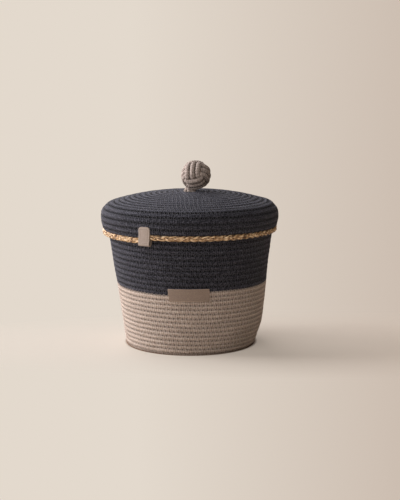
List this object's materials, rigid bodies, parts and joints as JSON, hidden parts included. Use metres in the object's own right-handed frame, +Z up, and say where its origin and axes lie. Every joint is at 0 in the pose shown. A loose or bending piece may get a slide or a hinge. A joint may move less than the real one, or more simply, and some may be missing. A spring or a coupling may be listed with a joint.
{
  "type": "knitting basket",
  "caption": "Round lidded basket of coiled, sewn cotton rope in two tones, with a domed slip-over lid, straw band, knotted knob, leather label and folded tag.",
  "frame": {"origin": "on the floor, at the middle of the basket's round footprint", "axes": "+Z up along the basket's axis; the front with the label faces -Y; +X is the viewer's right"},
  "size_m": [0.24, 0.24, 0.2487],
  "materials": {
    "base_rope": "sewn cotton rope",
    "lower_wall_rope": "sewn cotton rope",
    "upper_wall_rope": "sewn cotton rope",
    "front_label": "matt leather",
    "lid_rope": "sewn cotton rope",
    "straw_band": "plaited straw",
    "lid_tag": "suede-like leather",
    "knob_cord": "braided cotton cord",
    "knob_core": "turned",
    "stopper_knot": "braided cotton cord"
  },
  "bodies": {
    "basket": {"base_rope": "base_rope", "lower_wall_rope": "lower_wall_rope", "upper_wall_rope": "upper_wall_rope", "front_label": "front_label"},
    "lid": {"lid_rope": "lid_rope", "straw_band": "straw_band", "lid_tag": "lid_tag", "knob_cord": "knob_cord", "knob_core": "knob_core", "stopper_knot": "stopper_knot"}
  },
  "joints": [
    {"name": "lid_lift", "type": "slide", "parent": "basket", "child": "lid", "axis": [0, 0, 1], "range_m": [0, 0.08]}
  ]
}
